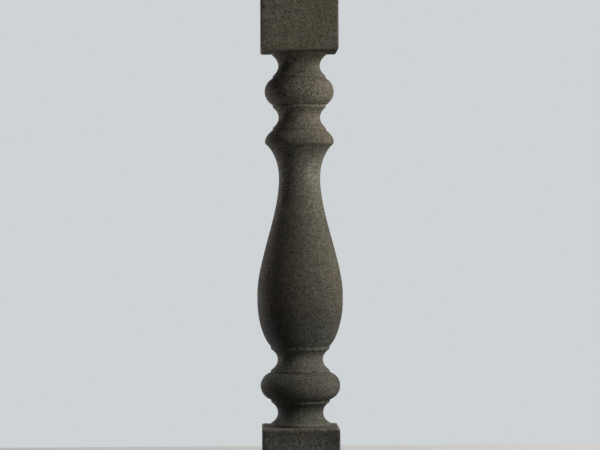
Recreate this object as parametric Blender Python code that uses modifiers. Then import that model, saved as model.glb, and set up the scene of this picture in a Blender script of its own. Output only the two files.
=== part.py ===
"""A cast concrete baluster: a turned shaft between two square blocks, in one piece.

Metres, +Z up. The origin is at the middle of the underside, and the blocks are square to X and Y.
The mouldings are listed from the top of the shaft down, as a turner would mark them out.
"""

import math

import bpy

# Square blocks
BLOCK_SIDE = 0.110
UPPER_BLOCK_HEIGHT = 0.080
LOWER_BLOCK_HEIGHT = 0.080
BLOCK_ARRIS = 0.0012
BLOCK_ARRIS_SEGMENTS = 2

# How far the shaft runs into each block, so that the two join as one body
SHAFT_BURY = 0.010

# Collar under the upper block, then the hollow below it
TOP_COLLAR_RADIUS = 0.0395
TOP_COLLAR_HEIGHT = 0.0048
TOP_HOLLOW_WAIST_RADIUS = 0.0298
TOP_HOLLOW_UPPER_HEIGHT = 0.0161
TOP_HOLLOW_LOWER_HEIGHT = 0.0146

# Upper ring, with a fillet above it and one below
UPPER_FILLET_RADIUS = 0.0383
UPPER_FILLET_HEIGHT = 0.0033
UPPER_RING_CREST_RADIUS = 0.0499
UPPER_RING_HEIGHT = 0.0383
UPPER_RING_FILLET_HEIGHT = 0.0037

# Throat, the hollow between the upper ring and the lip, and the fillet under it
THROAT_WAIST_RADIUS = 0.0298
THROAT_UPPER_HEIGHT = 0.0143
THROAT_LOWER_HEIGHT = 0.0148
THROAT_FILLET_HEIGHT = 0.0035

# Lip over the vase: a quarter round that ends in a narrow upright band
LIP_RADIUS = 0.0496
LIP_ROUND_HEIGHT = 0.0174
LIP_BAND_HEIGHT = 0.0020

# Vase: a long neck that swells into the belly
NECK_WAIST_RADIUS = 0.0298
NECK_UPPER_HEIGHT = 0.0496
BELLY_RADIUS = 0.0618
SWELL_HEIGHT = 0.1712
SWELL_NECK_PULL = 0.055
SWELL_BELLY_PULL = 0.053
BELLY_LOWER_HEIGHT = 0.0707

# Fillet under the belly, then the hollow at the vase's foot
LOWER_FILLET_RADIUS = 0.0424
BELLY_FILLET_HEIGHT = 0.0041
FOOT_HOLLOW_WAIST_RADIUS = 0.0325
FOOT_HOLLOW_UPPER_HEIGHT = 0.0151
FOOT_HOLLOW_LOWER_HEIGHT = 0.0151

# Lower ring, with a fillet above it and one below
LOWER_RING_UPPER_FILLET_HEIGHT = 0.0032
LOWER_RING_CREST_RADIUS = 0.0574
LOWER_RING_HEIGHT = 0.0394
LOWER_RING_FILLET_HEIGHT = 0.0038

# Hollow above the lower block, and its collar
BASE_HOLLOW_WAIST_RADIUS = 0.0328
BASE_HOLLOW_UPPER_HEIGHT = 0.0150
BASE_HOLLOW_LOWER_HEIGHT = 0.0152
BASE_COLLAR_RADIUS = 0.0435
BASE_COLLAR_HEIGHT = 0.0048

# How far round each arc goes, in degrees from upright: 90 would end it level
TOP_HOLLOW_SWEEP = 38
UPPER_RING_SWEEP = 61
THROAT_SWEEP = 50
LIP_SWEEP = 33
NECK_SWEEP = 65
BELLY_SWEEP = 67
FOOT_HOLLOW_SWEEP = 52
LOWER_RING_SWEEP = 72
BASE_HOLLOW_SWEEP = 66

# Fineness
SIDES = 48
HOLLOW_STEPS = 4
RING_STEPS = 6
LIP_STEPS = 4
NECK_STEPS = 7
SWELL_STEPS = 11
BELLY_STEPS = 8
SHARP_ANGLE = math.radians(28)

CONCRETE_COLOUR = (0.105, 0.098, 0.080, 1.0)
CONCRETE_ROUGHNESS = 0.95


def arc_shares(sweep, steps):
    """(share of the height, share of the change in radius) along an arc, from its upright end."""
    turn = math.radians(sweep)
    shares = []
    for step in range(steps + 1):
        angle = turn * step / steps
        shares.append((math.sin(angle) / math.sin(turn), (1 - math.cos(angle)) / (1 - math.cos(turn))))
    return shares


def arc_from_upright(profile, height, radius, sweep, steps):
    """Sets off upright and turns by the sweep on its way down to the radius."""
    start_radius, start_depth = profile[-1]
    for fall, spread in arc_shares(sweep, steps)[1:]:
        profile.append((start_radius + spread * (radius - start_radius), start_depth + fall * height))


def arc_to_upright(profile, height, radius, sweep, steps):
    """The same arc the other way up: it comes to the radius upright."""
    start_radius, start_depth = profile[-1]
    for fall, spread in reversed(arc_shares(sweep, steps)[:-1]):
        profile.append((radius + spread * (start_radius - radius), start_depth + (1 - fall) * height))


def hollow(profile, upper_height, lower_height, waist_radius, end_radius, sweep):
    arc_to_upright(profile, upper_height, waist_radius, sweep, HOLLOW_STEPS)
    arc_from_upright(profile, lower_height, end_radius, sweep, HOLLOW_STEPS)


def ring(profile, height, crest_radius, end_radius, sweep):
    arc_to_upright(profile, height / 2, crest_radius, sweep, RING_STEPS)
    arc_from_upright(profile, height / 2, end_radius, sweep, RING_STEPS)


def band(profile, height):
    """An upright stretch, such as a fillet or a collar."""
    radius, depth = profile[-1]
    profile.append((radius, depth + height))


def swell(profile, height, radius, upper_pull, lower_pull, steps):
    """A long S from one upright point to another. The pulls say how far each end holds its line."""
    start_radius, start_depth = profile[-1]
    depths = (0.0, upper_pull, height - lower_pull, height)
    radii = (start_radius, start_radius, radius, radius)
    for step in range(1, steps + 1):
        t = step / steps
        weights = ((1 - t) ** 3, 3 * t * (1 - t) ** 2, 3 * t * t * (1 - t), t**3)
        depth = sum(weight * value for weight, value in zip(weights, depths))
        swelling = sum(weight * value for weight, value in zip(weights, radii))
        profile.append((swelling, start_depth + depth))


def shaft_profile():
    """The turned outline as (radius, depth below the upper block), top to bottom."""
    profile = [(TOP_COLLAR_RADIUS, 0.0)]
    band(profile, TOP_COLLAR_HEIGHT)
    hollow(
        profile,
        TOP_HOLLOW_UPPER_HEIGHT,
        TOP_HOLLOW_LOWER_HEIGHT,
        TOP_HOLLOW_WAIST_RADIUS,
        UPPER_FILLET_RADIUS,
        TOP_HOLLOW_SWEEP,
    )

    band(profile, UPPER_FILLET_HEIGHT)
    ring(profile, UPPER_RING_HEIGHT, UPPER_RING_CREST_RADIUS, UPPER_FILLET_RADIUS, UPPER_RING_SWEEP)
    band(profile, UPPER_RING_FILLET_HEIGHT)

    hollow(
        profile,
        THROAT_UPPER_HEIGHT,
        THROAT_LOWER_HEIGHT,
        THROAT_WAIST_RADIUS,
        UPPER_FILLET_RADIUS,
        THROAT_SWEEP,
    )
    band(profile, THROAT_FILLET_HEIGHT)
    arc_to_upright(profile, LIP_ROUND_HEIGHT, LIP_RADIUS, LIP_SWEEP, LIP_STEPS)
    band(profile, LIP_BAND_HEIGHT)

    arc_to_upright(profile, NECK_UPPER_HEIGHT, NECK_WAIST_RADIUS, NECK_SWEEP, NECK_STEPS)
    swell(profile, SWELL_HEIGHT, BELLY_RADIUS, SWELL_NECK_PULL, SWELL_BELLY_PULL, SWELL_STEPS)
    arc_from_upright(profile, BELLY_LOWER_HEIGHT, LOWER_FILLET_RADIUS, BELLY_SWEEP, BELLY_STEPS)
    band(profile, BELLY_FILLET_HEIGHT)

    hollow(
        profile,
        FOOT_HOLLOW_UPPER_HEIGHT,
        FOOT_HOLLOW_LOWER_HEIGHT,
        FOOT_HOLLOW_WAIST_RADIUS,
        LOWER_FILLET_RADIUS,
        FOOT_HOLLOW_SWEEP,
    )
    band(profile, LOWER_RING_UPPER_FILLET_HEIGHT)
    ring(profile, LOWER_RING_HEIGHT, LOWER_RING_CREST_RADIUS, LOWER_FILLET_RADIUS, LOWER_RING_SWEEP)
    band(profile, LOWER_RING_FILLET_HEIGHT)

    hollow(
        profile,
        BASE_HOLLOW_UPPER_HEIGHT,
        BASE_HOLLOW_LOWER_HEIGHT,
        BASE_HOLLOW_WAIST_RADIUS,
        BASE_COLLAR_RADIUS,
        BASE_HOLLOW_SWEEP,
    )
    band(profile, BASE_COLLAR_HEIGHT)
    return profile


def concrete():
    material = bpy.data.materials.new("concrete")
    material.use_nodes = True
    shader = material.node_tree.nodes["Principled BSDF"]
    shader.inputs["Base Color"].default_value = CONCRETE_COLOUR
    shader.inputs["Roughness"].default_value = CONCRETE_ROUGHNESS
    shader.inputs["Metallic"].default_value = 0.0
    return material


def turned_shaft(profile, shaft_top, collection):
    """The shaft's outline turned round Z. Its closed ends lie inside the two blocks."""
    outline = [(0.0, shaft_top + SHAFT_BURY), (profile[0][0], shaft_top + SHAFT_BURY)]
    outline += [(radius, shaft_top - depth) for radius, depth in profile]
    outline += [(profile[-1][0], LOWER_BLOCK_HEIGHT - SHAFT_BURY), (0.0, LOWER_BLOCK_HEIGHT - SHAFT_BURY)]

    mesh = bpy.data.meshes.new("shaft_outline")
    points = [(radius, 0.0, z) for radius, z in outline]
    edges = [(index, index + 1) for index in range(len(points) - 1)]
    mesh.from_pydata(points, edges, [])
    shaft = bpy.data.objects.new("baluster", mesh)
    collection.objects.link(shaft)

    turn = shaft.modifiers.new("Turn", "SCREW")
    turn.axis = "Z"
    turn.steps = SIDES
    turn.render_steps = SIDES
    turn.use_merge_vertices = True
    turn.merge_threshold = 0.0001
    return shaft


def square_block(name, height, bottom, collection):
    bpy.ops.mesh.primitive_cube_add(size=1.0, location=(0.0, 0.0, bottom + height / 2))
    block = bpy.context.active_object
    block.name = name
    block.scale = (BLOCK_SIDE, BLOCK_SIDE, height)
    bpy.ops.object.transform_apply(location=False, rotation=False, scale=True)
    for home in list(block.users_collection):
        home.objects.unlink(block)
    collection.objects.link(block)

    arris = block.modifiers.new("Arris", "BEVEL")
    arris.width = BLOCK_ARRIS
    arris.segments = BLOCK_ARRIS_SEGMENTS
    return block


def join(shaft, blocks):
    """Joins the blocks to the shaft as one mesh, shaded smooth between its arrises."""
    for block in blocks:
        union = shaft.modifiers.new("Join " + block.name, "BOOLEAN")
        union.operation = "UNION"
        union.solver = "EXACT"
        union.object = block
    graph = bpy.context.evaluated_depsgraph_get()
    casting = bpy.data.meshes.new_from_object(shaft.evaluated_get(graph))
    shaft.modifiers.clear()
    shaft.data = casting
    for block in blocks:
        bpy.data.objects.remove(block)

    casting.name = "baluster"
    casting.materials.clear()
    casting.materials.append(concrete())
    casting.shade_smooth()
    casting.set_sharp_from_angle(angle=SHARP_ANGLE)


def main():
    for old in list(bpy.data.objects):
        bpy.data.objects.remove(old)
    collection = bpy.data.collections.new("concrete baluster")
    bpy.context.scene.collection.children.link(collection)

    profile = shaft_profile()
    shaft_height = profile[-1][1]
    shaft_top = LOWER_BLOCK_HEIGHT + shaft_height

    shaft = turned_shaft(profile, shaft_top, collection)
    lower_block = square_block("lower block", LOWER_BLOCK_HEIGHT, 0.0, collection)
    upper_block = square_block("upper block", UPPER_BLOCK_HEIGHT, shaft_top, collection)
    join(shaft, [lower_block, upper_block])


main()
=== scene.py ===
"""The looks of a cast concrete baluster: its worn, gritty surface, the light and the photograph's view.

Metres, +Z up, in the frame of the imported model. The casting is one closed mesh. Its outline is read from
the frame's own node, drawn as smooth curves between its corners, and carried round the axis: in circles
on the shaft and in squares on the blocks. The surface starts a little outside the moulded one and is worn
inwards from there, and the blocks reach a little farther towards the shaft than the moulded ones. The
casting stays inside the box of the solid that it stands for.
"""

import math

import bmesh
import bpy
import numpy as np
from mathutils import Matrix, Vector, noise

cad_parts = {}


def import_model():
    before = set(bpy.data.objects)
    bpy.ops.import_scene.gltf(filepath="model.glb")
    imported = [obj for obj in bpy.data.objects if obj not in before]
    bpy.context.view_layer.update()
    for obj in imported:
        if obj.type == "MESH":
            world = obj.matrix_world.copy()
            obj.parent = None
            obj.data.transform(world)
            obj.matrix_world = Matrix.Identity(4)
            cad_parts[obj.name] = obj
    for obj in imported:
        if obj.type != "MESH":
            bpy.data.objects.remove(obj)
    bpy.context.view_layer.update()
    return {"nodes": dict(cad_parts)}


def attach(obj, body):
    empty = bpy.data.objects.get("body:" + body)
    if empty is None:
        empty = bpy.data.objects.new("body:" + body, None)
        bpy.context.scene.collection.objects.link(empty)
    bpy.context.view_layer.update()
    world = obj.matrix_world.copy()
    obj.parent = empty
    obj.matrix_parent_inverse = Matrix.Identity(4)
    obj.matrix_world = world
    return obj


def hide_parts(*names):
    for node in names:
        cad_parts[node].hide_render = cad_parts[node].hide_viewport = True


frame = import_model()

NODE = "baluster"

# Fineness of the mesh: points round each ring, a quarter of them on each side of a block, and rings
COLUMNS = 216
SIDE_COLUMNS = COLUMNS // 4
HALF_SIDE_COLUMNS = COLUMNS // 8
CORNER_COLUMNS = 3
ROWS = 424

# How far in from a block's side the grid that fills its bed starts
BED_MARGIN = 0.008

# The outline, before it is cut into rows
OUTLINE_STEP = 0.00025
SHORTEST_STEP = OUTLINE_STEP / 100
SHORTEST_GAP = OUTLINE_STEP / 4
LEAST_STEPS = 2
CORNER_TURN = math.radians(24)
CORNER_CROWDING = 0.005
CROWDING_BLUR = 0.0010
EDGE_SOFTNESS = 0.00045
BLOCK_CORNER_RADIUS = 0.0020

# What each point of the outline holds, in this order
REACH, HEIGHT, SQUARENESS, EDGE, RECESS = range(5)

# How exactly the moulded solid's points are told apart
SURFACE_TOLERANCE = 0.00001
LEVEL_DECIMALS = 5
POINT_DECIMALS = 6

# A blur takes in this many times its spread on either side
BLUR_REACH = 4

# How much farther the photograph's blocks reach towards the shaft than the moulded solid's
UPPER_BLOCK_DROP = 0.0012
LOWER_BLOCK_LIFT = 0.0007

# How far the outline stands out from, or lies back behind, its own blurred run
EDGE_BLUR = 0.0016
FULL_EDGE = 0.0005
RECESS_BLUR = 0.0035
FULL_RECESS = 0.0014
CORNER_WEAR_WIDTH = 0.0025

# Weathering, as depths below a surface that starts this far outside the moulded one
SURFACE_RISE = 0.00035
UNEVENNESS = 0.00035
UNEVENNESS_SPAN = 0.045
RIPPLE = 0.00016
RIPPLE_SPAN = 0.012
GRIT = 0.00018
GRIT_SPAN = 0.0035
GRIT_OCTAVES = 2

# Air pits in a loose scatter of places: the share that has one, the smallest beside a full one, and the
# stretch of the places that their chances are drawn from
PIT_DEPTH = 0.0012
PIT_RADIUS = 0.0026
PIT_SPACING = 0.015
PIT_SHARE = 0.35
SMALLEST_PIT = 0.45
PIT_STRETCH = 9.7

# Wear along the edges, and chips where their noise rises above its level
LEAST_EXPOSURE = 0.02
EDGE_WEAR = 0.0008
EDGE_WEAR_SPAN = 0.009
EDGE_WEAR_MIDDLE = 0.35
EDGE_WEAR_SWING = 0.65
CHIP_DEPTH = 0.0036
CHIP_SPAN = 0.016
CHIP_LEVEL = 0.28
CHIP_OCTAVES = 3

# Pits and nicks of their own on the front, as (across, height, radius, depth)
MARKS = (
    (-0.0516, 0.6787, 0.0021, 0.0018),
    (-0.0468, 0.6291, 0.0020, 0.0014),
    (-0.0492, 0.6225, 0.0020, 0.0020),
    (-0.0073, 0.6061, 0.0024, 0.0016),
    (-0.0110, 0.6085, 0.0018, 0.0010),
    (0.0135, 0.5628, 0.0018, 0.0010),
    (0.0160, 0.5575, 0.0017, 0.0010),
    (-0.0038, 0.2978, 0.0020, 0.0008),
    (0.0221, 0.2777, 0.0019, 0.0008),
    (-0.0447, 0.3008, 0.0022, 0.0010),
    (-0.0065, 0.1934, 0.0018, 0.0009),
    (0.0049, 0.1930, 0.0016, 0.0008),
    (0.0157, 0.1905, 0.0022, 0.0018),
)
MARK_CORE = 1 / 3

# Pale grains that stand out on the front, as (across, height, radius)
BARE_GRAINS = (
    (-0.0298, 0.6624, 0.0011),
    (0.0039, 0.6604, 0.0013),
    (-0.0213, 0.6557, 0.0010),
    (0.0132, 0.6543, 0.0011),
    (0.0270, 0.6256, 0.0010),
    (-0.0074, 0.6313, 0.0009),
    (-0.0066, 0.6078, 0.0010),
    (0.0014, 0.5460, 0.0009),
    (0.0045, 0.5462, 0.0009),
    (0.0181, 0.5393, 0.0014),
    (0.0028, 0.2643, 0.0010),
)
BARE_GRAIN_CORE = 1 / 2

# Soft patches on the front, darker or paler than round them, as (across, height, radius, tone): partly
# stains, partly painted shadow and painted light
STAINS_AND_PAINTED_LIGHT = (
    (-0.056, 0.684, 0.020, 0.72),
    (-0.056, 0.650, 0.022, 0.74),
    (-0.040, 0.575, 0.026, 0.68),
    (-0.033, 0.500, 0.022, 0.66),
    (-0.024, 0.596, 0.014, 0.70),
    (-0.008, 0.598, 0.018, 1.30),
    (0.012, 0.612, 0.012, 1.20),
    (0.008, 0.519, 0.018, 1.25),
    (0.014, 0.446, 0.018, 1.25),
    (-0.030, 0.380, 0.030, 1.10),
    (-0.056, 0.248, 0.034, 1.32),
    (-0.034, 0.200, 0.018, 1.45),
    (0.003, 0.174, 0.022, 1.35),
    (-0.052, 0.135, 0.020, 0.72),
    (-0.028, 0.150, 0.018, 1.45),
    (-0.018, 0.114, 0.012, 1.45),
    (0.026, 0.111, 0.016, 0.80),
    (0.004, 0.088, 0.020, 1.40),
    (-0.040, 0.086, 0.024, 0.62),
    (0.054, 0.060, 0.030, 0.60),
    (0.056, 0.140, 0.026, 0.75),
)

# Browner places on the front, as (across, height, radius)
BROWN_PLACES = (
    (-0.036, 0.682, 0.034),
    (-0.050, 0.640, 0.020),
    (-0.030, 0.494, 0.016),
)

# Scratches across the front of the upper block, as (across, height) ends
SCRATCHES = (
    ((-0.0417, 0.6721), (-0.0349, 0.6683)),
    ((-0.0340, 0.6827), (-0.0408, 0.6759)),
    ((-0.0359, 0.6900), (-0.0357, 0.6844)),
    ((-0.0148, 0.6836), (-0.0127, 0.6760)),
)
SCRATCH_HALF_WIDTH = 0.0008
SCRATCH_CORE = 1 / 2
SCRATCH_SHARE = 0.6

# Colours of the concrete, of what wear and weather bring out of it, and of the shade painted into the
# recesses
CEMENT = (0.1225, 0.115, 0.095, 1.0)
BROWN_PATCH = (0.131, 0.113, 0.097, 1.0)
OLIVE_PATCH = (0.118, 0.114, 0.083, 1.0)
DAMP_GREY = (0.103, 0.113, 0.105, 1.0)
PALE_GRAIN = (0.30, 0.285, 0.24, 1.0)
BARE_GRAIN = (0.40, 0.38, 0.32, 1.0)
DARK_HOLE = (0.030, 0.028, 0.023, 1.0)
# Painted shade: the dark colour laid into the recesses
RECESS_SHADE = (0.050, 0.046, 0.036, 1.0)
RUBBED = (0.215, 0.202, 0.175, 1.0)

# Sizes of what the colours vary over, from the widest stains to the finest sand
STAIN_SPAN = 0.11
COURSE_SPAN = 0.030
COURSE_STRETCH = 9.0
DAMP_SPAN = 0.030
BROWN_SPAN = 0.024
STREAK_SPAN = 0.018
STREAK_STRETCH = 9.0
OLIVE_SPAN = 0.016
# Span of the patches of painted shade in the recesses
RECESS_SHADE_SPAN = 0.0083
BLOTCH_SPAN = 0.0067
RUB_SPAN = 0.0053
SHEEN_SPAN = 0.0045
HOLE_SPACING = 0.0036
PALE_SAND = 0.0024
COARSE_SAND = 0.0023
GRAIN_WARP_SPAN = 0.0016
GRAIN_WARP = 0.0012
FINE_SAND = 0.00115
BUMP_SPAN = 0.0011

# Limits that the tone varies between
STAIN_TONES = (0.92, 1.08)
STREAK_TONES = (0.95, 1.05)
COURSE_TONES = (0.92, 1.08)
BLOTCH_TONES = (0.90, 1.10)
COARSE_SAND_TONES = (0.82, 1.18)
FINE_SAND_TONES = (0.38, 1.62)

# How much of each colour there is: limits that its share varies between, or the level its patches start at
OLIVE_LIMITS = (0.2, 0.9)
DAMP_LIMITS = (0.6, 1.4)
# Limits of how strongly the painted shade darkens the recesses
RECESS_SHADE_LIMITS = (0.15, 0.7)
BROWN_LEVEL = 0.45
RUB_LEVEL = 0.38

# Pale grains and small holes: the share of the cells that has one, its core and rim in cell widths, and
# the sizes it varies between
PALE_SHARE = 0.030
PALE_CORE_AND_RIM = (0.20, 0.34)
HOLE_SHARE = 0.055
HOLE_CORE_AND_RIM = (0.18, 0.34)
SPOT_SIZES = (0.6, 1.2)

# Relief and gloss. A grain's rim lies lower than its middle by the first number, beside noise of 0 to 1
GRAIN_RIM_DROP = 0.4
BUMP_DISTANCE = 0.0004
BUMP_STRENGTH = 0.8
ROUGHNESS_LIMITS = (0.86, 0.98)
SPECULAR_LEVEL = 0.25

# How light the concrete is, partly through painted light and shade, and how brown, olive, damp and sandy,
# as (height, value) stops
# Lightness by height, partly painted light and painted shade: lighter on the neck and in the hollow under
# the belly, darker under the lower ring
LIGHT_AND_TONE_BY_HEIGHT = (
    (0.045, 1.20),
    (0.062, 1.08),
    (0.072, 0.86),
    (0.079, 0.94),
    (0.095, 1.02),
    (0.112, 0.55),
    (0.129, 0.99),
    (0.15, 0.85),
    (0.18, 1.28),
    (0.20, 0.88),
    (0.24, 0.73),
    (0.27, 0.89),
    (0.32, 0.96),
    (0.37, 0.98),
    (0.40, 1.30),
    (0.44, 1.76),
    (0.49, 1.14),
    (0.54, 1.49),
    (0.59, 1.08),
    (0.64, 1.33),
    (0.69, 1.38),
)
BROWN_BY_HEIGHT = (
    (0.06, 1.2),
    (0.10, 0.4),
    (0.30, 1.2),
    (0.38, 0.8),
    (0.44, 0.5),
    (0.50, 1.2),
    (0.62, 1.1),
)
OLIVE_BY_HEIGHT = (
    (0.40, 0.25),
    (0.58, 0.35),
    (0.63, 1.0),
)
DAMP_BY_HEIGHT = (
    (0.05, 0.75),
    (0.073, 0.45),
    (0.10, 0.45),
    (0.15, 0.30),
    (0.21, 0.62),
    (0.26, 0.10),
    (0.32, 0.0),
    (0.46, 0.25),
    (0.50, 0.0),
)
SANDY_BY_HEIGHT = (
    (0.05, 1.25),
    (0.09, 1.0),
    (0.14, 1.2),
    (0.20, 1.0),
    (0.50, 1.0),
    (0.55, 1.5),
    (0.58, 1.5),
    (0.62, 0.87),
)

# Workings of the material's nodes: the middle run of a noise, the width of a patch's edge, the colour mix
# node's sockets, and what a colour ramp's stops are divided by, which keeps them between 0 and 1
NOISE_RUN = (0.3, 0.7)
PATCH_EDGE = 0.17
MIX_FIRST, MIX_SECOND, MIX_RESULT = 6, 7, 2
STOP_SCALE = 2.0

# The photograph's view
LENS_MM = 152.8
SENSOR_WIDTH_MM = 36.0
CAMERA_DISTANCE = 3.669
CAMERA_HEIGHT = 0.370
CAMERA_TURN = math.radians(-1.6)
CAMERA_ROLL = math.radians(0.25)
CAMERA_SIDESTEP = 0.0004

# Surroundings
FLOOR_HALF_SIDE = 0.60
FLOOR_THICKNESS = 0.02
FLOOR_COLOUR = (0.80, 0.81, 0.82, 1.0)
FLOOR_ROUGHNESS = 0.9
BACKDROP_COLOUR = (0.62, 0.65, 0.67, 1.0)
AMBIENT_COLOUR = (0.80, 0.90, 1.0, 1.0)
AMBIENT_STRENGTH = 0.004
KEY_COLOUR = (1.0, 0.965, 0.87)
RIM_COLOUR = (1.0, 0.94, 0.96)
SOFT_WHITE = (1.0, 0.985, 0.95)

# Soft lights, as (name, turn in degrees, distance, height, (width, height) of the lamp, watts, colour)
LIGHTS = (
    ("key", 55, 2.27, 1.46, (1.3, 0.7), 24.6, KEY_COLOUR),
    ("level_key", 60, 2.4, 0.6, (1.3, 0.7), 9.3, KEY_COLOUR),
    ("side", 105, 1.3, 1.1, (0.8, 0.7), 10.1, KEY_COLOUR),
    ("low_side", 78, 1.0, 0.12, (0.8, 0.2), 1.2, KEY_COLOUR),
    ("low_front", 30, 1.0, 0.12, (0.8, 0.2), 0.47, KEY_COLOUR),
    ("left_rim", -137, 2.48, 0.75, (1.0, 0.7), 15.6, RIM_COLOUR),
    ("low_rim", -120, 1.0, 0.12, (0.8, 0.2), 3.3, RIM_COLOUR),
    ("back", 178, 2.3, 1.4, (0.9, 0.9), 9.0, SOFT_WHITE),
    ("top", 0, 0.01, 2.4, (1.2, 1.2), 8.4, SOFT_WHITE),
)
LIGHT_AIM_HEIGHT = 0.40
GROUND_LIGHTS = ("low_side", "low_front", "low_rim")


def vertex_values(mesh, name):
    """A position or a normal for each vertex, as rows of (x, y, z)."""
    values = np.empty(len(mesh.vertices) * 3, np.float32)
    mesh.vertices.foreach_get(name, values)
    return values.reshape(-1, 3).astype(float)


def block_measures(points):
    """Half the blocks' side, the width of their arrises, and the heights of their four level faces."""
    across, height = points[:, 0], points[:, 2]
    bottom, top = height.min(), height.max()
    half = abs(across[height > top - BED_MARGIN]).max()
    on_side = abs(abs(across) - half) < SURFACE_TOLERANCE
    levels = np.unique(np.round(height[on_side], LEVEL_DECIMALS))
    arris = levels[0] - bottom
    return {
        "half": half,
        "arris": arris,
        "bottom": bottom,
        "lower_top": levels[1] + arris,
        "upper_bottom": levels[-2] - arris,
        "top": top,
    }


def shaft_points(points, block):
    """The shaft's (radius, height) points along +X, from the top down."""
    along_x = (abs(points[:, 1]) < SURFACE_TOLERANCE) & (points[:, 0] > 0)
    below = points[:, 2] < block["upper_bottom"] + SURFACE_TOLERANCE
    above = points[:, 2] > block["lower_top"] - SURFACE_TOLERANCE
    on_shaft = points[along_x & below & above][:, [2, 0]]
    column = np.unique(np.round(on_shaft, POINT_DECIMALS), axis=0)
    return [(radius, height) for height, radius in column[::-1]]


def turn_at(before, point, after):
    """How sharply the outline turns at a point, in radians."""
    arriving = math.atan2(point[1] - before[1], point[0] - before[0])
    leaving = math.atan2(after[1] - point[1], after[0] - point[0])
    return abs((leaving - arriving + math.pi) % (2 * math.pi) - math.pi)


def smooth_stretches(points):
    """The outline split at its corners."""
    stretches = [[points[0]]]
    for before, point, after in zip(points, points[1:], points[2:]):
        stretches[-1].append(point)
        if turn_at(before, point, after) > CORNER_TURN:
            stretches.append([point])
    stretches[-1].append(points[-1])
    return stretches


def curve_through(stretch):
    """A smooth curve of cubic pieces that share their tangents, without the stretch's last point."""
    points = np.array(stretch)
    gaps = np.hypot(*np.diff(points, axis=0).T)
    places = np.concatenate([[0.0], np.cumsum(gaps)])
    count = max(LEAST_STEPS, int(places[-1] / OUTLINE_STEP))
    samples = np.linspace(0.0, places[-1], count, endpoint=False)
    slopes = np.diff(points, axis=0) / gaps[:, None]

    tangents = np.empty_like(points)
    shares = (gaps[:-1] / (gaps[:-1] + gaps[1:]))[:, None]
    tangents[1:-1] = slopes[:-1] * (1 - shares) + slopes[1:] * shares
    tangents[0] = slopes[0] if len(points) == 2 else 2 * slopes[0] - tangents[1]
    tangents[-1] = slopes[-1] if len(points) == 2 else 2 * slopes[-1] - tangents[-2]

    piece = np.searchsorted(places, samples, side="right") - 1
    width = gaps[piece][:, None]
    t = ((samples - places[piece]) / gaps[piece])[:, None]
    near = points[piece] * (2 * t**3 - 3 * t**2 + 1) + width * tangents[piece] * (t**3 - 2 * t**2 + t)
    far = points[piece + 1] * (3 * t**2 - 2 * t**3) + width * tangents[piece + 1] * (t**3 - t**2)
    return near + far


def straight_runs(corners):
    """Evenly spaced (reach, height, squareness) points along straight runs, without the last corner."""
    runs = []
    for start, end in zip(corners, corners[1:]):
        start, end = np.array(start), np.array(end)
        count = max(LEAST_STEPS, int(np.hypot(*(end - start)[:2]) / OUTLINE_STEP))
        runs.append(start + (end - start) * np.linspace(0.0, 1.0, count, endpoint=False)[:, None])
    return np.concatenate(runs)


def casting_outline(block, shaft):
    """The whole outline from the top bed to the underside, as (reach, height, squareness) points."""
    half, arris = block["half"], block["arris"]
    shaft = [(shaft[0][0], block["upper_bottom"]), *shaft[1:-1], (shaft[-1][0], block["lower_top"])]
    upper = straight_runs(
        [
            (half - BED_MARGIN, block["top"], 1.0),
            (half - arris, block["top"], 1.0),
            (half, block["top"] - arris, 1.0),
            (half, block["upper_bottom"] + arris, 1.0),
            (half - arris, block["upper_bottom"], 1.0),
            (shaft[0][0], block["upper_bottom"], 0.0),
        ]
    )
    turned = np.concatenate([curve_through(stretch) for stretch in smooth_stretches(shaft)])
    turned = np.column_stack([turned, np.zeros(len(turned))])
    lower = straight_runs(
        [
            (shaft[-1][0], block["lower_top"], 0.0),
            (half - arris, block["lower_top"], 1.0),
            (half, block["lower_top"] - arris, 1.0),
            (half, block["bottom"] + arris, 1.0),
            (half - arris, block["bottom"], 1.0),
            (half - BED_MARGIN, block["bottom"], 1.0),
        ]
    )
    return np.concatenate([upper, turned, lower])


def blurred(values, spread):
    """A Gaussian blur along the first axis. The spread is a length along the outline."""
    spread = spread / OUTLINE_STEP
    reach = int(BLUR_REACH * spread) + 1
    weights = np.exp(-0.5 * (np.arange(-reach, reach + 1) / spread) ** 2)
    weights /= weights.sum()
    before = 2 * values[0] - values[reach:0:-1]
    after = 2 * values[-1] - values[-2 : -reach - 2 : -1]
    padded = np.concatenate([before, values, after])
    return np.column_stack([np.convolve(column, weights, mode="valid") for column in padded.T])


def standing_out(outline, blur):
    """How far each point of the outline stands out from its blurred run. In a recess it is negative."""
    steps = np.gradient(outline[:, :2], axis=0)
    steps /= np.maximum(np.hypot(*steps.T), SHORTEST_STEP)[:, None]
    outward = np.column_stack([-steps[:, 1], steps[:, 0]])
    offset = outline[:, :2] - blurred(outline, blur)[:, :2]
    return (offset * outward).sum(axis=1)


def outline_rows(outline):
    """Rows of (reach, height, squareness, edge, recess), crowded together where the outline turns."""
    outline = blurred(outline, EDGE_SOFTNESS)
    edge = np.clip(standing_out(outline, EDGE_BLUR) / FULL_EDGE, 0.0, 1.0)
    recess = np.clip(-standing_out(outline, RECESS_BLUR) / FULL_RECESS, 0.0, 1.0)
    values = np.column_stack([outline, edge, recess])

    steps = np.diff(outline[:, :2], axis=0)
    gaps = np.hypot(*steps.T)
    headings = np.unwrap(np.arctan2(steps[:, 1], steps[:, 0]))
    turning = abs(np.gradient(headings)) / np.maximum(gaps, SHORTEST_GAP)
    crowding = blurred(1 + CORNER_CROWDING * turning[:, None], CROWDING_BLUR)[:, 0]
    weight = np.concatenate([[0.0], np.cumsum(gaps * crowding)])
    wanted = np.linspace(0.0, weight[-1], ROWS)
    return np.column_stack([np.interp(wanted, weight, column) for column in values.T])


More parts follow.
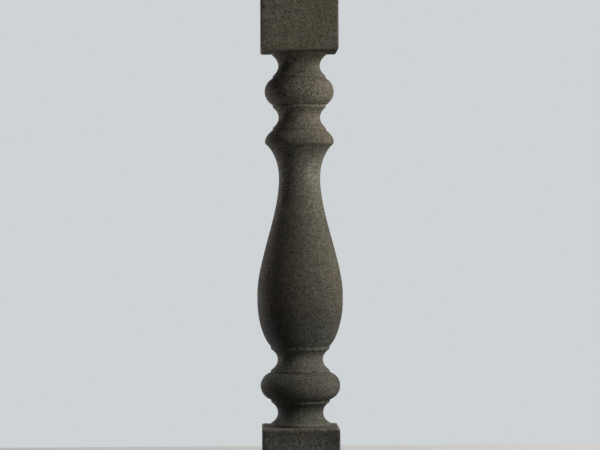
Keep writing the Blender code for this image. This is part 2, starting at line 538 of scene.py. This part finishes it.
def round_ring(radius):
    """A circle, as one (x, y) for each column, from +X round."""
    angles = np.arange(COLUMNS) * 2 * math.pi / COLUMNS
    return radius * np.column_stack([np.cos(angles), np.sin(angles)])


def side_places():
    """For each column of a square ring: its side, and its place there, -1 to 1 from corner to corner."""
    columns = np.arange(COLUMNS) + HALF_SIDE_COLUMNS
    side = columns // SIDE_COLUMNS % 4
    along = (columns % SIDE_COLUMNS) / HALF_SIDE_COLUMNS - 1
    return side, along


def square_ring(half):
    """A square with round corners, as one (x, y) for each column, from the middle of the +X side round."""
    side, along = side_places()
    flat = half - BLOCK_CORNER_RADIUS
    flat_share = 1 - CORNER_COLUMNS / HALF_SIDE_COLUMNS
    bend = np.clip((abs(along) - flat_share) / (1 - flat_share), 0.0, 1.0) * math.pi / 4
    out = flat + BLOCK_CORNER_RADIUS * np.cos(bend)
    rounding = np.sign(along) * BLOCK_CORNER_RADIUS * np.sin(bend)
    across = flat * np.clip(along / flat_share, -1, 1) + rounding
    angle = side * math.pi / 2
    x = out * np.cos(angle) - across * np.sin(angle)
    y = out * np.sin(angle) + across * np.cos(angle)
    return np.column_stack([x, y])


def casting_rings(rows):
    """One ring of points for each row: round on the shaft, square on the blocks."""
    rings = []
    for reach, height, squareness, *_ in rows:
        squareness = min(max(squareness, 0.0), 1.0)
        ring = round_ring(reach) * (1 - squareness) + square_ring(reach) * squareness
        rings.append(np.column_stack([ring, np.full(COLUMNS, height)]))
    return np.array(rings)


def corner_closeness(rows):
    """1 at the blocks' upright corners, fading to 0 away from them, for each row and column."""
    _, along = side_places()
    distance = (1 - abs(along)) * rows[:, REACH, None]
    on_block = rows[:, SQUARENESS, None].clip(0.0, 1.0)
    return on_block * np.exp(-((distance / CORNER_WEAR_WIDTH) ** 2))


def fill_bed(bm, row):
    """Fills a square ring with a grid that runs between its +X and -X sides."""
    opposite_sides = []
    for middle in (0, COLUMNS // 2):
        for index in range(middle - HALF_SIDE_COLUMNS, middle + HALF_SIDE_COLUMNS):
            ends = [bm.verts[row * COLUMNS + (index + step) % COLUMNS] for step in (0, 1)]
            opposite_sides.append(bm.edges.get(ends))
    bmesh.ops.grid_fill(bm, edges=opposite_sides)
    bm.verts.ensure_lookup_table()


def closed_mesh(rings):
    """The rings joined down the sides, with each bed filled in by a grid."""
    upper = np.arange(len(rings) - 1)[:, None] * COLUMNS
    lower = upper + COLUMNS
    column = np.arange(COLUMNS)
    beside = (column + 1) % COLUMNS
    faces = np.stack([upper + column, lower + column, lower + beside, upper + beside], axis=-1)
    mesh = bpy.data.meshes.new("baluster_casting")
    mesh.from_pydata(rings.reshape(-1, 3).tolist(), [], faces.reshape(-1, 4).tolist())

    bm = bmesh.new()
    bm.from_mesh(mesh)
    bm.verts.ensure_lookup_table()
    fill_bed(bm, 0)
    fill_bed(bm, len(rings) - 1)
    bmesh.ops.recalc_face_normals(bm, faces=bm.faces)
    bm.to_mesh(mesh)
    bm.free()
    return mesh


def even_noise(point, span):
    """Noise over the span, from 0 to 1."""
    return 0.5 + 0.5 * noise.noise(point / span)


def layered_noise(point, span, octaves):
    """Noise round 0 in octaves, each twice as fine and half as strong as the one before."""
    return noise.fractal(point / span, 1.0, 2.0, octaves)


def unevenness(point):
    """What the mould and the float left: a swell, a ripple and grit, each from 0 to about its depth."""
    swell = UNEVENNESS * even_noise(point, UNEVENNESS_SPAN)
    ripple = RIPPLE * even_noise(point, RIPPLE_SPAN)
    grit = GRIT * (0.5 + 0.5 * layered_noise(point, GRIT_SPAN, GRIT_OCTAVES))
    return swell + ripple + grit


def bowl(distance, radius, depth):
    """How deep a round hollow is at a distance from its middle."""
    return depth * max(0.0, 1 - (distance / radius) ** 2)


def blow_hole(point):
    """How deep the air pit at the nearest place of the scatter goes. Most places have none."""
    distances, places = noise.voronoi(point / PIT_SPACING)
    chance = 0.5 + 0.5 * noise.cell(places[0] * PIT_STRETCH)
    if chance > PIT_SHARE:
        return 0.0
    size = SMALLEST_PIT + (1 - SMALLEST_PIT) * (chance / PIT_SHARE)
    return bowl(distances[0] * PIT_SPACING, size * PIT_RADIUS, size * PIT_DEPTH)


def mark_depth(point, marks):
    """How deep the front's own pits and nicks go at the point."""
    return max(bowl((point - place).length, radius, depth) for place, radius, depth in marks)


def edge_loss(point, edge, corner):
    """Wear that comes and goes along the edges, more where two meet, and chips where it bites."""
    exposure = max(edge, corner)
    if exposure < LEAST_EXPOSURE:
        return 0.0
    rub = EDGE_WEAR_MIDDLE + EDGE_WEAR_SWING * noise.noise(point / EDGE_WEAR_SPAN)
    bite = layered_noise(point, CHIP_SPAN, CHIP_OCTAVES) - CHIP_LEVEL
    wear = EDGE_WEAR * (max(0.0, rub) + edge * corner)
    return exposure * (wear + CHIP_DEPTH * max(0.0, bite))


def front_place(rows, across, height):
    """The point of the moulded surface that shows there from in front."""
    reach = np.interp(-height, -rows[:, HEIGHT], rows[:, REACH])
    squareness = np.interp(-height, -rows[:, HEIGHT], rows[:, SQUARENESS])
    depth = reach if squareness > 0.5 else math.sqrt(reach**2 - across**2)
    return Vector((across, -depth, height))


def raised(points, normals, reach):
    """The points moved out from the moulded surface, as far as the solid's box has room for them."""
    height = points[:, 2]
    room = np.minimum(height - height.min(), height.max() - height)
    room = np.minimum(room, reach.max() - reach)
    return points + normals * np.minimum(room, SURFACE_RISE)[:, None]


def wear_depths(points, edge, corner, marks):
    """How deep the surface is worn at each point."""
    depths = np.empty(len(points))
    for index, place in enumerate(points):
        point = Vector(place)
        worn = unevenness(point) + edge_loss(point, edge[index], corner[index])
        depths[index] = worn + max(blow_hole(point), mark_depth(point, marks))
    return depths


def with_beds(values, count):
    """The walls' values, followed by 0 for each vertex that fills the beds."""
    return np.concatenate([values, np.zeros(count - len(values))])


def weathered(mesh, rows):
    """Wears the mesh's surface down, and keeps how worn and how sheltered each point is. The material
    paints shade into the sheltered points.
    """
    points = vertex_values(mesh, "co")
    normals = vertex_values(mesh, "normal")
    count = len(points)
    edge = with_beds(np.repeat(rows[:, EDGE], COLUMNS), count)
    recess = with_beds(np.repeat(rows[:, RECESS], COLUMNS), count)
    reach = with_beds(np.repeat(rows[:, REACH], COLUMNS), count)
    corner = with_beds(corner_closeness(rows).ravel(), count)

    points = raised(points, normals, reach)
    marks = []
    for across, height, radius, depth in MARKS:
        marks.append((front_place(rows, across, height), radius, depth))
    points -= normals * wear_depths(points, edge, corner, marks)[:, None]
    mesh.vertices.foreach_set("co", points.astype(np.float32).ravel())
    mesh.update()

    # The recess values go to the material, which paints shade with them
    for name, values in (("edge", np.maximum(edge, corner)), ("recess", recess)):
        attribute = mesh.attributes.new(name, "FLOAT", "POINT")
        attribute.data.foreach_set("value", values.astype(np.float32))


class Nodes:
    """A node tree, with a node and its links made in one call."""

    def __init__(self, tree):
        self.tree = tree

    def feed(self, socket, value):
        """Links an output to the socket, or sets the socket's own value."""
        if isinstance(value, bpy.types.NodeSocket):
            self.tree.links.new(value, socket)
        else:
            socket.default_value = value

    def add(self, kind, inputs=(), **settings):
        """A new node with its settings, and its inputs linked or set."""
        node = self.tree.nodes.new(kind)
        for name, value in settings.items():
            setattr(node, name, value)
        for name, value in dict(inputs).items():
            self.feed(node.inputs[name], value)
        return node

    def maths(self, operation, first, second):
        return self.add("ShaderNodeMath", {0: first, 1: second}, operation=operation).outputs["Value"]

    def product(self, *values):
        """The values multiplied together, from left to right."""
        result = values[0]
        for value in values[1:]:
            result = self.maths("MULTIPLY", result, value)
        return result

    def vector(self, operation, first, second):
        inputs = {0: first, 1: second}
        return self.add("ShaderNodeVectorMath", inputs, operation=operation).outputs["Vector"]

    def measure(self, operation, first, second):
        """A number from two vectors, such as their distance."""
        inputs = {0: first, 1: second}
        return self.add("ShaderNodeVectorMath", inputs, operation=operation).outputs["Value"]

    def scaled(self, vector, factor):
        inputs = {0: vector, "Scale": factor}
        return self.add("ShaderNodeVectorMath", inputs, operation="SCALE").outputs["Vector"]

    def ramp(self, value, low, high, to_low=0.0, to_high=1.0, smooth=False):
        inputs = {"Value": value, "From Min": low, "From Max": high, "To Min": to_low, "To Max": to_high}
        node = self.add("ShaderNodeMapRange", inputs)
        if smooth:
            node.interpolation_type = "SMOOTHSTEP"
        return node.outputs["Result"]

    def stops(self, value, stops):
        """A value that runs smoothly through (place, value) stops."""
        first, last = stops[0][0], stops[-1][0]
        ramp = self.add("ShaderNodeValToRGB", {"Fac": self.ramp(value, first, last)})
        ramp.color_ramp.interpolation = "EASE"
        while len(ramp.color_ramp.elements) < len(stops):
            ramp.color_ramp.elements.new(0.5)
        for element, (place, tone) in zip(ramp.color_ramp.elements, stops):
            grey = tone / STOP_SCALE
            element.position = (place - first) / (last - first)
            element.color = (grey, grey, grey, 1.0)
        return self.maths("MULTIPLY", ramp.outputs["Color"], STOP_SCALE)

    def grey(self, value):
        channels = {"Red": value, "Green": value, "Blue": value}
        return self.add("ShaderNodeCombineColor", channels).outputs["Color"]

    def blend(self, share, first, second, blend_type="MIX"):
        node = self.add("ShaderNodeMix", data_type="RGBA", blend_type=blend_type)
        self.feed(node.inputs["Factor"], share)
        self.feed(node.inputs[MIX_FIRST], first)
        self.feed(node.inputs[MIX_SECOND], second)
        return node.outputs[MIX_RESULT]

    def noise(self, place, span, detail=2.0):
        return self.add("ShaderNodeTexNoise", {"Vector": place, "Scale": 1 / span, "Detail": detail})

    def varied(self, place, span, limits, detail=2.0):
        """A value that wanders between the limits over the span."""
        return self.ramp(self.noise(place, span, detail).outputs["Fac"], *NOISE_RUN, *limits)

    def patches(self, place, span, level):
        """1 in patches of the span and 0 between them. The higher the level, the fewer patches."""
        return self.ramp(self.noise(place, span, 3.0).outputs["Fac"], level, level + PATCH_EDGE)

    def grains(self, place, size):
        """Grains of the size: how far each point lies from its grain's middle, and its grain's chances."""
        cells = self.add("ShaderNodeTexVoronoi", {"Vector": place, "Scale": 1 / size})
        chances = self.add("ShaderNodeSeparateColor", {0: cells.outputs["Color"]})
        return cells.outputs["Distance"], chances.outputs

    def disc(self, place, middle, radius, core=0.0, smooth=False):
        """1 within the core of a round place, falling to 0 at its radius. The core is a share of it."""
        return self.ramp(self.measure("DISTANCE", place, middle), radius, core * radius, smooth=smooth)


def tinted(nodes, place, height, rows):
    """The cement's own colour, with brown and olive patches, and greyer where it stays damp."""
    brown_patches = nodes.patches(place, BROWN_SPAN, BROWN_LEVEL)
    brown = nodes.product(nodes.stops(height, BROWN_BY_HEIGHT), brown_patches)
    colour = nodes.blend(brown, CEMENT, BROWN_PATCH)
    olive_patches = nodes.varied(place, OLIVE_SPAN, OLIVE_LIMITS)
    olive = nodes.product(nodes.stops(height, OLIVE_BY_HEIGHT), olive_patches)
    colour = nodes.blend(olive, colour, OLIVE_PATCH)
    for across, up, radius in BROWN_PLACES:
        browner = nodes.disc(place, front_place(rows, across, up), radius, smooth=True)
        colour = nodes.blend(browner, colour, BROWN_PATCH)
    damp_patches = nodes.varied(place, DAMP_SPAN, DAMP_LIMITS)
    damp = nodes.product(nodes.stops(height, DAMP_BY_HEIGHT), damp_patches)
    return nodes.blend(damp, colour, DAMP_GREY)


def painted_light_and_stains(nodes, place, height, rows):
    """How light the surface is, apart from its grain: bands by height and soft patches that are partly
    painted light and painted shade, stains, run-off streaks, level marks and blotches.
    """
    upright = nodes.vector("MULTIPLY", place, (1.0, 1.0, 1 / STREAK_STRETCH))
    level = nodes.vector("MULTIPLY", place, (1.0, 1.0, COURSE_STRETCH))
    tone = nodes.product(
        nodes.stops(height, LIGHT_AND_TONE_BY_HEIGHT),
        nodes.varied(place, STAIN_SPAN, STAIN_TONES, 3.0),
        nodes.varied(upright, STREAK_SPAN, STREAK_TONES),
        nodes.varied(level, COURSE_SPAN, COURSE_TONES),
        nodes.varied(place, BLOTCH_SPAN, BLOTCH_TONES),
    )
    # Soft patches, partly stains and partly painted shadow and painted light
    for across, up, radius, middle_tone in STAINS_AND_PAINTED_LIGHT:
        distance = nodes.measure("DISTANCE", place, front_place(rows, across, up))
        stain_and_light = nodes.ramp(distance, 0.0, radius, middle_tone, 1.0, smooth=True)
        tone = nodes.product(tone, stain_and_light)
    return tone


def warped(nodes, place):
    """Places shifted a little here and there, so that grains and holes aren't regular."""
    shift = nodes.noise(place, GRAIN_WARP_SPAN).outputs["Color"]
    shift = nodes.vector("SUBTRACT", shift, (0.5, 0.5, 0.5))
    return nodes.vector("ADD", place, nodes.scaled(shift, 2 * GRAIN_WARP))


def sand_tone(nodes, place, height):
    """Each grain of sand lighter or darker than its neighbours, and more so where the surface is sandy."""
    middle, coarse_chances = nodes.grains(place, COARSE_SAND)
    _, fine_chances = nodes.grains(place, FINE_SAND)
    coarse = nodes.ramp(coarse_chances["Red"], 0, 1, *COARSE_SAND_TONES)
    fine = nodes.ramp(fine_chances["Red"], 0, 1, *FINE_SAND_TONES)
    tone = nodes.maths("POWER", nodes.product(coarse, fine), nodes.stops(height, SANDY_BY_HEIGHT))
    return tone, middle


def spots(nodes, place, spacing, share, core_and_rim, chance, size_chance):
    """1 in irregular spots: a share of the cells has one, each of its own size."""
    core, rim = core_and_rim
    middle, chances = nodes.grains(place, spacing)
    chosen = nodes.maths("LESS_THAN", chances[chance], share)
    size = nodes.ramp(chances[size_chance], 0, 1, *SPOT_SIZES)
    inside = nodes.ramp(nodes.maths("DIVIDE", middle, size), rim, core)
    return nodes.product(chosen, inside)


def scratch(nodes, place, start, end):
    """1 along a straight line between two places."""
    along = end - start
    from_start = nodes.vector("SUBTRACT", place, start)
    share = nodes.ramp(nodes.measure("DOT_PRODUCT", from_start, along), 0.0, along.length_squared)
    return nodes.disc(from_start, nodes.scaled(along, share), SCRATCH_HALF_WIDTH, SCRATCH_CORE)


def shaded_and_rubbed(nodes, place, colour):
    """The colour darkened in the recesses with painted shade, and paler where the edges are rubbed."""
    # Painted shade: the recesses are darkened where shade would fall
    sheltered = nodes.add("ShaderNodeAttribute", attribute_name="recess").outputs["Fac"]
    painted_shade = nodes.product(sheltered, nodes.varied(place, RECESS_SHADE_SPAN, RECESS_SHADE_LIMITS, 3.0))
    colour = nodes.blend(painted_shade, colour, RECESS_SHADE)
    exposed = nodes.add("ShaderNodeAttribute", attribute_name="edge").outputs["Fac"]
    rubbed = nodes.product(exposed, nodes.patches(place, RUB_SPAN, RUB_LEVEL))
    return nodes.blend(rubbed, colour, RUBBED)


def marked(nodes, place, rows, colour):
    """The colour with the pits, pale grains and scratches that are the front's own."""
    for across, up, radius, _ in MARKS:
        pit = nodes.disc(place, front_place(rows, across, up), radius, MARK_CORE)
        colour = nodes.blend(pit, colour, DARK_HOLE)
    for across, up, radius in BARE_GRAINS:
        bare = nodes.disc(place, front_place(rows, across, up), radius, BARE_GRAIN_CORE)
        colour = nodes.blend(bare, colour, BARE_GRAIN)
    for start, end in SCRATCHES:
        scratched = scratch(nodes, place, front_place(rows, *start), front_place(rows, *end))
        colour = nodes.blend(nodes.product(scratched, SCRATCH_SHARE), colour, DARK_HOLE)
    return colour


def relief(nodes, place, sand_middle, hole):
    """The fine relief of grains and small holes, as a bump on the surface."""
    grains = nodes.product(sand_middle, -GRAIN_RIM_DROP)
    bumpy = nodes.maths("ADD", grains, nodes.noise(place, BUMP_SPAN, 3.0).outputs["Fac"])
    bumpy = nodes.maths("SUBTRACT", bumpy, hole)
    inputs = {"Height": bumpy, "Distance": BUMP_DISTANCE, "Strength": BUMP_STRENGTH}
    return nodes.add("ShaderNodeBump", inputs).outputs["Normal"]


def new_material(name):
    """A material, and the shader that shows it."""
    material = bpy.data.materials.new(name)
    material.use_nodes = True
    return material, material.node_tree.nodes["Principled BSDF"]


def concrete(rows):
    """Cement and sand, with stains, wear, painted light and shade, the front's own marks and a fine relief.
    """
    material, shader = new_material("weathered_concrete")
    nodes = Nodes(material.node_tree)
    place = nodes.add("ShaderNodeTexCoord").outputs["Object"]
    height = nodes.add("ShaderNodeSeparateXYZ", {0: place}).outputs["Z"]
    grain_place = warped(nodes, place)

    sand, sand_middle = sand_tone(nodes, grain_place, height)
    tone = nodes.product(sand, painted_light_and_stains(nodes, place, height, rows))
    colour = nodes.blend(1.0, tinted(nodes, place, height, rows), nodes.grey(tone), "MULTIPLY")
    pale = spots(nodes, grain_place, PALE_SAND, PALE_SHARE, PALE_CORE_AND_RIM, "Green", "Blue")
    colour = nodes.blend(pale, colour, PALE_GRAIN)
    hole = spots(nodes, grain_place, HOLE_SPACING, HOLE_SHARE, HOLE_CORE_AND_RIM, "Blue", "Red")
    colour = nodes.blend(hole, colour, DARK_HOLE)
    # Painted shade in the recesses, and rubbed pale edges
    colour = shaded_and_rubbed(nodes, place, colour)
    colour = marked(nodes, place, rows, colour)

    nodes.feed(shader.inputs["Base Color"], colour)
    nodes.feed(shader.inputs["Normal"], relief(nodes, place, sand_middle, hole))
    nodes.feed(shader.inputs["Roughness"], nodes.varied(place, SHEEN_SPAN, ROUGHNESS_LIMITS))
    nodes.feed(shader.inputs["Specular IOR Level"], SPECULAR_LEVEL)
    return material


def casting():
    """The whole baluster as one weathered mesh, in place of the moulded solid."""
    points = vertex_values(frame["nodes"][NODE].data, "co")
    block = block_measures(points)
    shaft = shaft_points(points, block)
    block["upper_bottom"] -= UPPER_BLOCK_DROP
    block["lower_top"] += LOWER_BLOCK_LIFT
    rows = outline_rows(casting_outline(block, shaft))
    mesh = closed_mesh(casting_rings(rows))
    weathered(mesh, rows)
    mesh.materials.append(concrete(rows))
    mesh.shade_smooth()
    piece = bpy.data.objects.new("baluster_casting", mesh)
    bpy.context.scene.collection.objects.link(piece)
    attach(piece, "root")
    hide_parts(NODE)
    return piece


def floor():
    """A pale slab under the casting. It throws no light back up, because the ground lights do that."""
    bpy.ops.mesh.primitive_cube_add(size=2.0, location=(0.0, 0.0, -FLOOR_THICKNESS / 2))
    slab = bpy.context.active_object
    slab.name = "floor"
    slab.scale = (FLOOR_HALF_SIDE, FLOOR_HALF_SIDE, FLOOR_THICKNESS / 2)
    material, shader = new_material("pale_floor")
    shader.inputs["Base Color"].default_value = FLOOR_COLOUR
    shader.inputs["Roughness"].default_value = FLOOR_ROUGHNESS
    slab.data.materials.append(material)
    slab.visible_diffuse = False


def world():
    """Pale where the camera sees it, and a dim, even light on the object."""
    surroundings = bpy.data.worlds.new("studio")
    bpy.context.scene.world = surroundings
    surroundings.use_nodes = True
    surroundings.node_tree.nodes.clear()
    nodes = Nodes(surroundings.node_tree)
    seen = nodes.add("ShaderNodeBackground", {"Color": BACKDROP_COLOUR})
    light = nodes.add("ShaderNodeBackground", {"Color": AMBIENT_COLOUR, "Strength": AMBIENT_STRENGTH})
    to_camera = nodes.add("ShaderNodeLightPath").outputs["Is Camera Ray"]
    mixed = nodes.add("ShaderNodeMixShader", {0: to_camera, 1: light.outputs[0], 2: seen.outputs[0]})
    nodes.add("ShaderNodeOutputWorld", {"Surface": mixed.outputs[0]})


def around(turn, distance, height):
    """A place round the axis. The turn is 0 in front and grows to the right, as seen from the front."""
    return Vector((distance * math.sin(turn), -distance * math.cos(turn), height))


def soft_light(name, turn, distance, height, size, power, colour):
    """A rectangular lamp that faces the middle of the casting. The turn is in degrees."""
    data = bpy.data.lights.new(name, "AREA")
    data.shape = "RECTANGLE"
    data.size, data.size_y = size
    data.energy = power
    data.color = colour
    lamp = bpy.data.objects.new(name, data)
    lamp.visible_camera = False
    bpy.context.scene.collection.objects.link(lamp)
    lamp.location = around(math.radians(turn), distance, height)
    to_aim = Vector((0.0, 0.0, LIGHT_AIM_HEIGHT)) - lamp.location
    lamp.rotation_mode = "QUATERNION"
    lamp.rotation_quaternion = to_aim.to_track_quat("-Z", "Y")
    return lamp


def lights(piece):
    """The ground lights stand in for light off pale ground, so they reach the casting and nothing else."""
    casting_only = bpy.data.collections.new("casting_only")
    casting_only.objects.link(piece)
    for name, *measures in LIGHTS:
        lamp = soft_light(name, *measures)
        if name in GROUND_LIGHTS:
            lamp.light_linking.receiver_collection = casting_only


def camera():
    data = bpy.data.cameras.new("camera")
    data.lens = LENS_MM
    data.sensor_width = SENSOR_WIDTH_MM
    view = bpy.data.objects.new("camera", data)
    bpy.context.scene.collection.objects.link(view)
    sidestep = Vector((CAMERA_SIDESTEP, 0.0, 0.0))
    view.location = around(CAMERA_TURN, CAMERA_DISTANCE, CAMERA_HEIGHT) + sidestep
    view.rotation_euler = (math.pi / 2, CAMERA_ROLL, CAMERA_TURN)
    bpy.context.scene.camera = view


camera()
baluster = casting()
floor()
world()
lights(baluster)
bpy.context.scene.view_settings.view_transform = "Standard"
